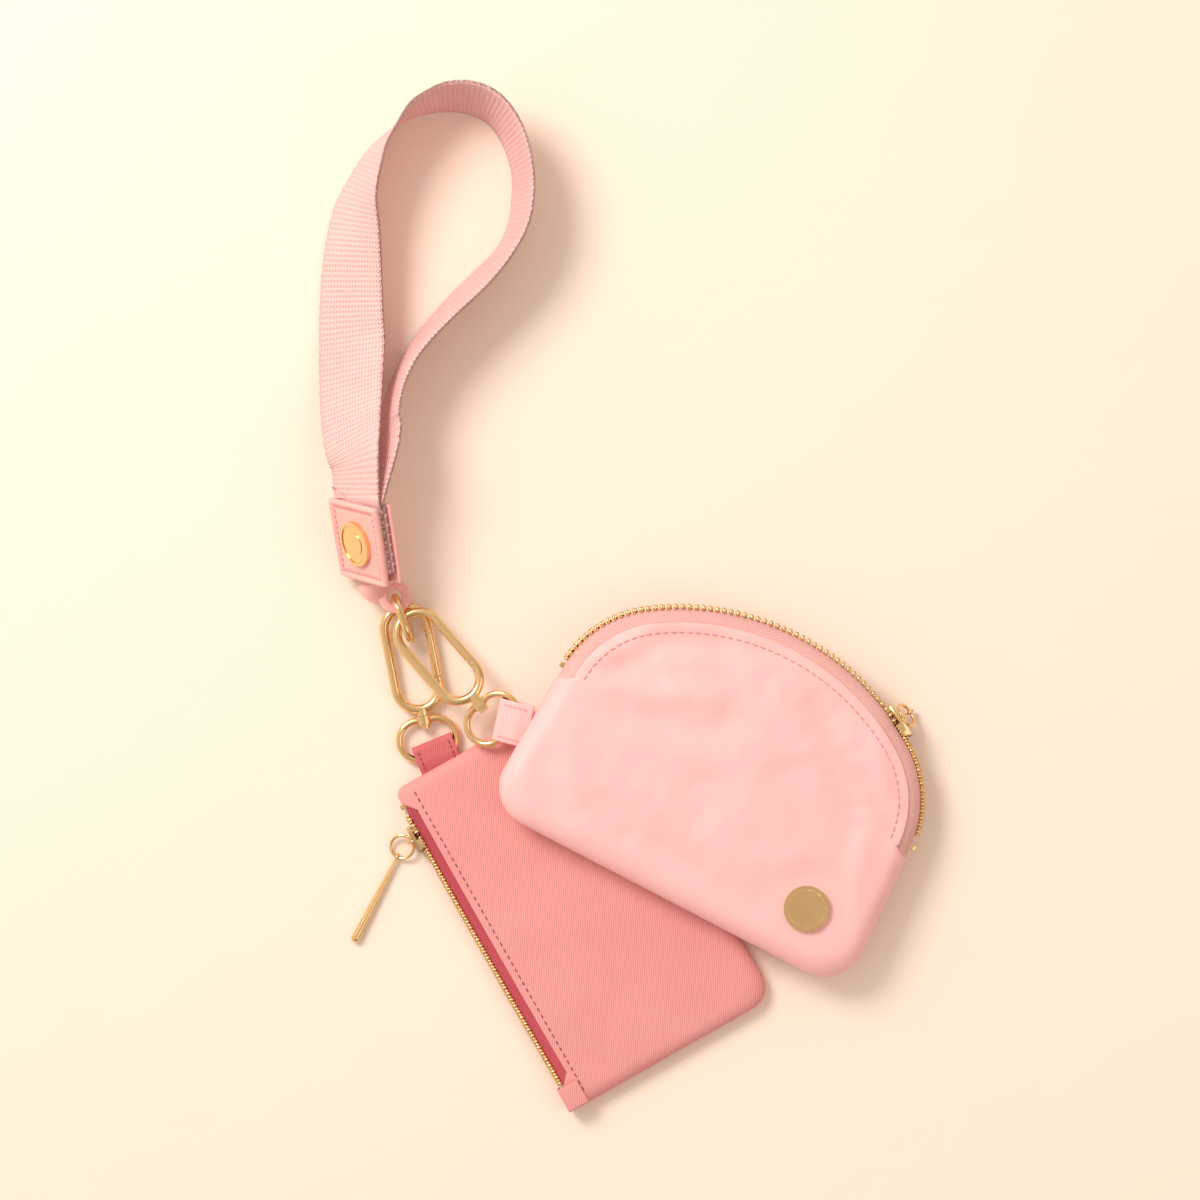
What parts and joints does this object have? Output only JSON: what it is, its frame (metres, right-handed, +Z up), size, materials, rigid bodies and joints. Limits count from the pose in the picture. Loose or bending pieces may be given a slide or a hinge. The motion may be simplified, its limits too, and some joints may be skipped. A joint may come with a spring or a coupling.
{
  "type": "wristlet wallet",
  "caption": "Wristlet wallet: two zipped fabric pouches, a half-round one and an oblong one, hung by swivel rings and spring-gate clips on a looped webbing wrist strap.",
  "frame": {"origin": "middle of the oblong pouch's flat back, the face it rests on", "axes": "+Z up from the resting face; +Y towards the wrist loop; +X towards the half-round pouch"},
  "size_m": [0.1933, 0.3266, 0.0324],
  "materials": {
    "webbing": "woven, matte",
    "leather": "smooth grained, satin",
    "thread": "twisted thread",
    "gold_metal": "polished pale gold plate",
    "plain_steel": "plain",
    "blush_fabric": "smooth satin weave",
    "lining": "plain weave, matte",
    "blush_tape": "herringbone tape",
    "rose_fabric": "fine twill",
    "crimson_tape": "herringbone tape"
  },
  "bodies": {
    "strap": {"strap_webbing": "webbing", "leather_front": "leather", "leather_back": "leather", "leather_tongue": "leather", "leather_stitching": "thread", "strap_badge": "gold_metal", "strap_badge_plate": "plain_steel"},
    "link": {"link_ring": "gold_metal"},
    "clip_a": {"clip_a_frame": "gold_metal", "clip_a_gate_pin": "plain_steel", "clip_a_spring": "plain_steel", "clip_a_swivel_post": "gold_metal"},
    "gate_a": {"clip_a_gate": "gold_metal"},
    "ring_a": {"ring_a": "gold_metal", "ring_a_washer": "gold_metal"},
    "clip_b": {"clip_b_frame": "gold_metal", "clip_b_gate_pin": "plain_steel", "clip_b_spring": "plain_steel", "clip_b_swivel_post": "gold_metal"},
    "gate_b": {"clip_b_gate": "gold_metal"},
    "ring_b": {"ring_b": "gold_metal", "ring_b_washer": "gold_metal"},
    "dome_pouch": {"dome_front_panel": "blush_fabric", "dome_back_panel": "blush_fabric", "dome_front_lining": "lining", "dome_back_lining": "lining", "dome_front_tape": "blush_tape", "dome_back_tape": "blush_tape", "dome_front_teeth": "gold_metal", "dome_back_teeth": "gold_metal", "dome_zip_stops": "gold_metal", "dome_topstitching": "thread", "dome_tab": "blush_fabric", "dome_tab_stitching": "thread", "dome_badge": "gold_metal"},
    "dome_slider": {"dome_slider": "gold_metal"},
    "dome_pull_ring": {"dome_pull_ring": "gold_metal"},
    "dome_pull_bar": {"dome_pull_bar": "gold_metal"},
    "rose_pouch": {"rose_front_panel": "rose_fabric", "rose_back_panel": "rose_fabric", "rose_front_lining": "lining", "rose_back_lining": "lining", "rose_front_tape": "crimson_tape", "rose_back_tape": "crimson_tape", "rose_front_teeth": "gold_metal", "rose_back_teeth": "gold_metal", "rose_top_stops": "gold_metal", "rose_zip_end_tab": "rose_fabric", "rose_topstitching": "thread", "rose_tab": "rose_fabric", "rose_tab_stitching": "thread"},
    "rose_slider": {"rose_slider": "gold_metal"},
    "rose_pull_ring": {"rose_pull_ring": "gold_metal"},
    "rose_pull_bar": {"rose_pull_bar": "gold_metal"}
  },
  "joints": [
    {"name": "link_swing", "type": "hinge", "parent": "strap", "child": "link", "pos_m": [-0.06032, 0.09467, 0.0074], "axis": [0, 0, 1], "range_deg": [-40, 40]},
    {"name": "clip_a_turn", "type": "hinge", "parent": "link", "child": "clip_a", "pos_m": [-0.0526, 0.08303, 0.0083], "axis": [-0.0583, 0.0671, 0.996], "range_deg": [0, 40]},
    {"name": "clip_b_turn", "type": "hinge", "parent": "link", "child": "clip_b", "pos_m": [-0.0569, 0.08453, 0.00405], "axis": [0.0077, -0.0394, 0.9992], "range_deg": [-40, 0]},
    {"name": "gate_a_hinge", "type": "hinge", "parent": "clip_a", "child": "gate_a", "pos_m": [-0.03542, 0.07394, 0.00992], "axis": [-0.0583, 0.0671, 0.996], "range_deg": [0, 18], "stiffness_Nm_per_rad": 0.01, "springref_deg": -17.19, "deforming": ["clip_a_spring"]},
    {"name": "gate_b_hinge", "type": "hinge", "parent": "clip_b", "child": "gate_b", "pos_m": [-0.04655, 0.06801, 0.00332], "axis": [0.0077, -0.0394, 0.9992], "range_deg": [0, 13], "stiffness_Nm_per_rad": 0.01, "springref_deg": -17.19, "deforming": ["clip_b_spring"]},
    {"name": "swivel_a", "type": "hinge", "parent": "clip_a", "child": "ring_a", "pos_m": [-0.03364, 0.06123, 0.01088], "axis": [0.6535, -0.7517, 0.0889], "range_deg": [0, 16]},
    {"name": "swivel_b", "type": "hinge", "parent": "clip_b", "child": "ring_b", "pos_m": [-0.05137, 0.05608, 0.00289], "axis": [0.1907, -0.9808, -0.0401], "range_deg": [-45, 0]},
    {"name": "dome_tab_hinge", "type": "hinge", "parent": "ring_a", "child": "dome_pouch", "pos_m": [-0.02617, 0.05597, 0.01226], "axis": [-0.2149, -0.9632, -0.1613], "range_deg": [0, 75], "deforming": ["dome_tab", "dome_tab_stitching"]},
    {"name": "rose_tab_hinge", "type": "hinge", "parent": "ring_b", "child": "rose_pouch", "pos_m": [-0.0483, 0.04734, 0.00252], "axis": [-0.9252, -0.3793, -0.0079], "range_deg": [-75, 0], "deforming": ["rose_tab", "rose_tab_stitching"]},
    {"name": "dome_zip", "type": "hinge", "parent": "dome_pouch", "child": "dome_slider", "pos_m": [0.02984, 0.0085, 0.01373], "axis": [0.0444, 0.0252, 0.9987], "range_deg": [0, 58], "deforming": ["dome_front_teeth", "dome_back_teeth", "dome_front_tape", "dome_back_tape"]},
    {"name": "rose_zip", "type": "slide", "parent": "rose_pouch", "child": "rose_slider", "axis": [0.4939, -0.8695, 0], "range_m": [0, 0.085], "deforming": ["rose_front_teeth", "rose_back_teeth", "rose_front_tape", "rose_back_tape"]},
    {"name": "dome_ring_hinge", "type": "hinge", "parent": "dome_slider", "child": "dome_pull_ring", "pos_m": [0.10123, 0.05611, 0.00936], "axis": [-0.5548, 0.832, 0.0037], "range_deg": [-120, 0]},
    {"name": "rose_ring_hinge", "type": "hinge", "parent": "rose_slider", "child": "rose_pull_ring", "pos_m": [-0.05511, 0.01665, 0.0033], "axis": [-0.4939, 0.8695, 0], "range_deg": [-75, 60]},
    {"name": "dome_bar_swing", "type": "hinge", "parent": "dome_pull_ring", "child": "dome_pull_bar", "pos_m": [0.10264, 0.05707, 0.00602], "axis": [0.7417, 0.4926, 0.4552], "range_deg": [-100, 100]},
    {"name": "rose_bar_swing", "type": "hinge", "parent": "rose_pull_ring", "child": "rose_pull_bar", "pos_m": [-0.05827, 0.01486, 0.00236], "axis": [-0.2177, -0.1237, 0.9681], "range_deg": [-60, 40]}
  ]
}
